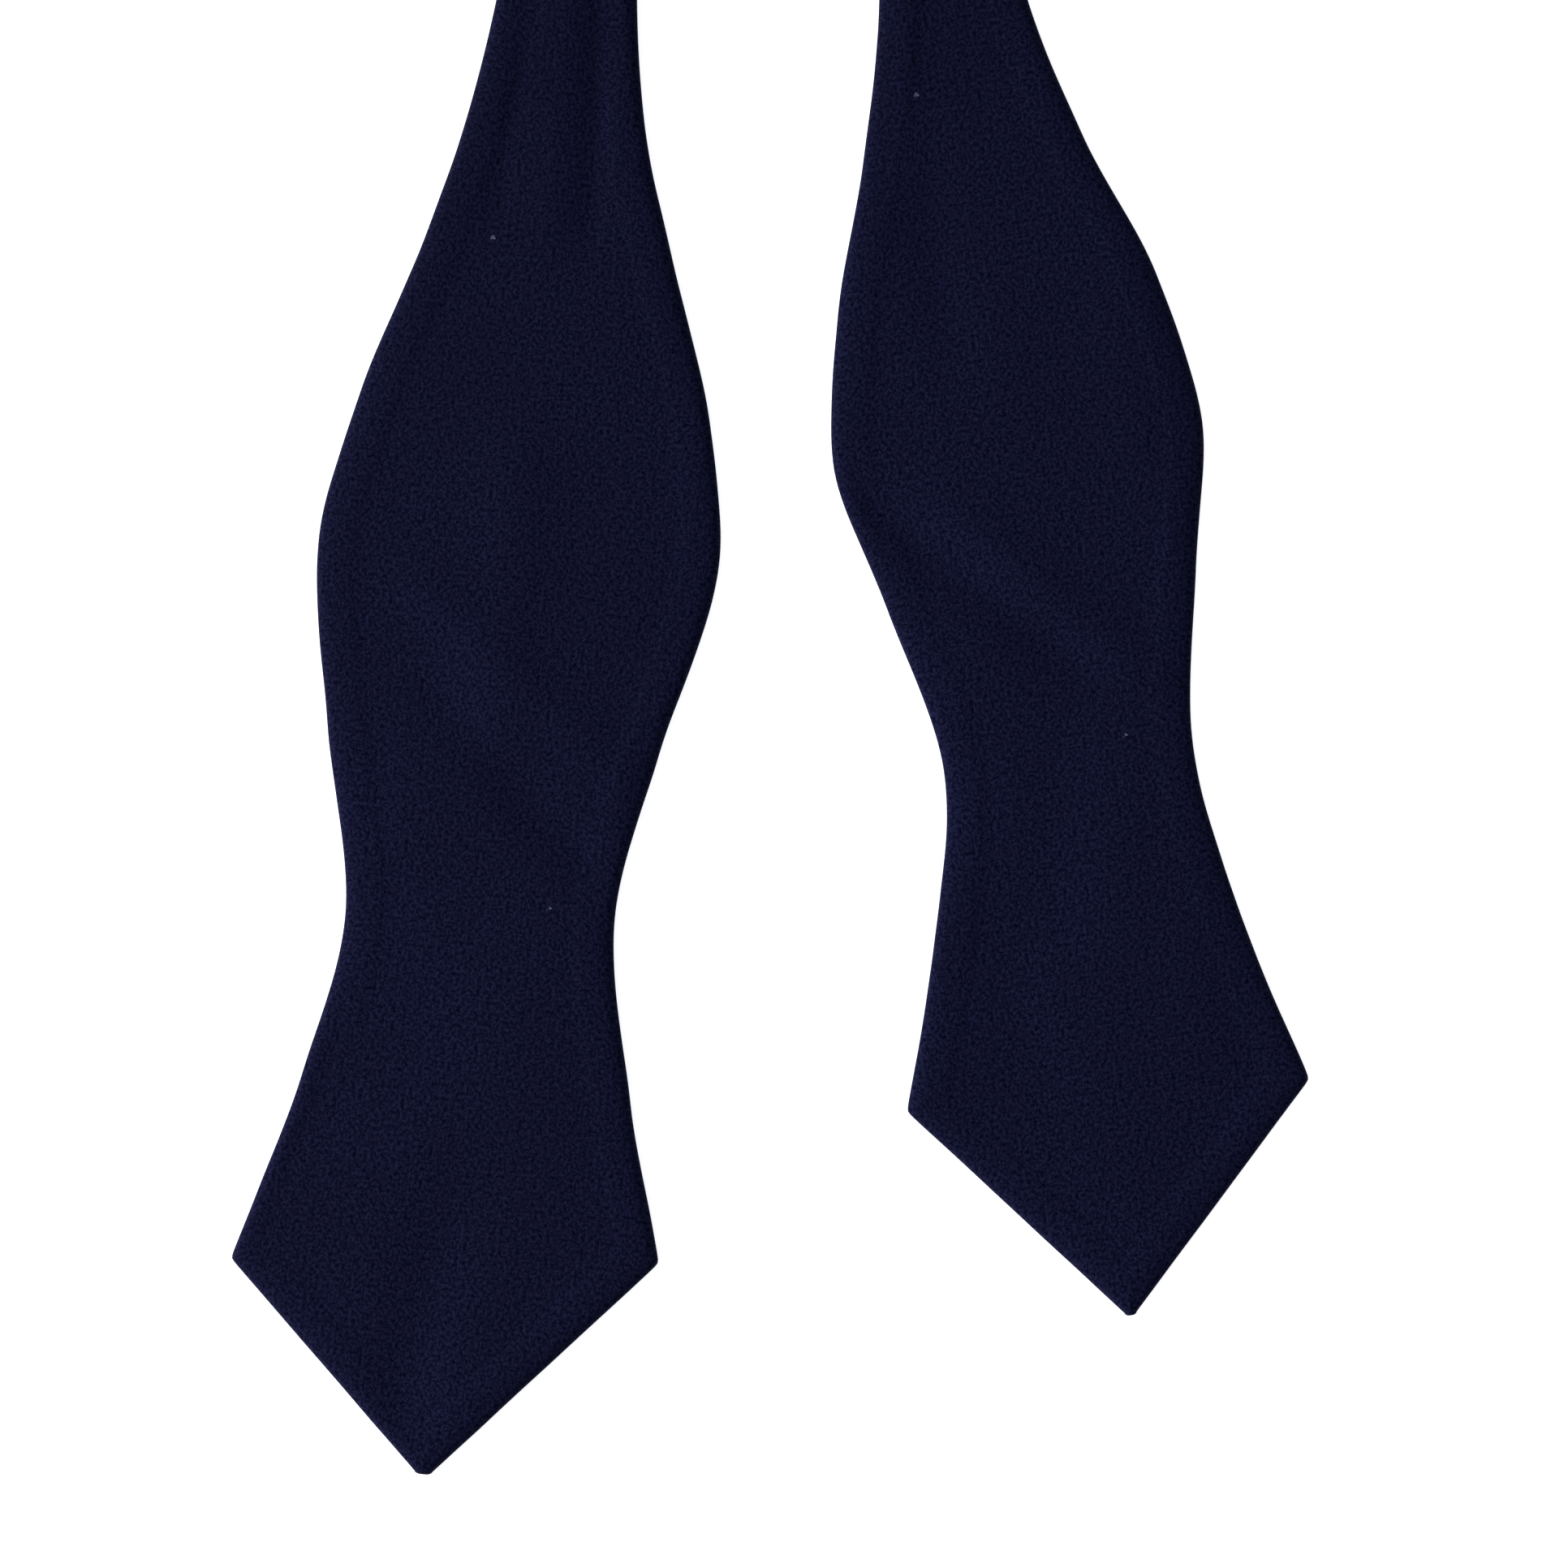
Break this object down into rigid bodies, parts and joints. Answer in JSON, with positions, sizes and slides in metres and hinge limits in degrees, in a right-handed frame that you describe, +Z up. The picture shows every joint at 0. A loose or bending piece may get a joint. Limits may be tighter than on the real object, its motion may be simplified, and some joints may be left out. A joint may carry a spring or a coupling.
{
  "type": "bow tie",
  "caption": "Untied self-tie bow tie with diamond-point blades and a hooked, adjustable neckband, laid flat with the band standing on edge.",
  "frame": {"origin": "on the table, under the middle of the bounding box of the laid-out tie", "axes": "+Y from the blades' points towards the back of the neckband, +X from the longer blade towards the shorter one, +Z up from the table to the face side of the blades"},
  "size_m": [0.1512, 0.4176, 0.0202],
  "materials": {
    "cloth": "matt midnight-navy twill, slightly brushed",
    "interlining": "undyed canvas, sealed inside",
    "strap": "ribbed grosgrain, matt",
    "nickel": "polished nickel plate",
    "thread": "polyester sewing thread",
    "label": "satin-woven tape, blank"
  },
  "bodies": {
    "right_half": {"right_face": "cloth", "right_back": "cloth", "right_interlining": "interlining", "strap_standing_run": "strap", "strap_joint_tack": "thread"},
    "right_end": {"right_end_face": "cloth", "right_end_back": "cloth", "right_end_interlining": "interlining"},
    "strap_loop": {"strap_eye_loop": "strap"},
    "adjuster": {"slide_frame": "nickel", "strap_return_run": "strap", "strap_end_fold": "strap", "strap_fold_tack": "thread"},
    "eye": {"eye_ring": "nickel"},
    "hook": {"hook": "nickel"},
    "left_half": {"left_face": "cloth", "left_back": "cloth", "left_interlining": "interlining", "hook_tab": "strap", "tab_joint_tack": "thread", "size_label": "label"},
    "left_end": {"left_end_face": "cloth", "left_end_back": "cloth", "left_end_interlining": "interlining"}
  },
  "joints": [
    {"name": "right_waist_fold", "type": "hinge", "parent": "right_half", "child": "right_end", "pos_m": [0.04024, -0.10963, 0.0027], "axis": [-0.991, -0.1336, 0], "range_deg": [0, 165]},
    {"name": "eye_travel", "type": "slide", "parent": "right_half", "child": "strap_loop", "axis": [0, 1, 0], "range_m": [-0.025, 0.025], "deforming": ["strap_standing_run"]},
    {"name": "slide_travel", "type": "slide", "parent": "strap_loop", "child": "adjuster", "axis": [0, 1, 0], "range_m": [-0.025, 0.025], "deforming": ["strap_return_run"]},
    {"name": "eye_swing", "type": "hinge", "parent": "strap_loop", "child": "eye", "pos_m": [0.02188, 0.1533, 0.0102], "axis": [0, 0, 1], "range_deg": [-30, 1]},
    {"name": "hook_release", "type": "slide", "parent": "eye", "child": "hook", "axis": [0, -1, 0], "range_m": [0, 0.004]},
    {"name": "tab_swing", "type": "hinge", "parent": "hook", "child": "left_half", "pos_m": [0.02188, 0.1753, 0.0102], "axis": [0, 0, 1], "range_deg": [-60, 1]},
    {"name": "left_waist_fold", "type": "hinge", "parent": "left_half", "child": "left_end", "pos_m": [-0.04087, -0.13107, 0.0027], "axis": [-0.9953, 0.0972, 0], "range_deg": [0, 165]}
  ],
  "couplings": [
    {"joint": "slide_travel", "follows": "eye_travel", "ratio": 1}
  ]
}
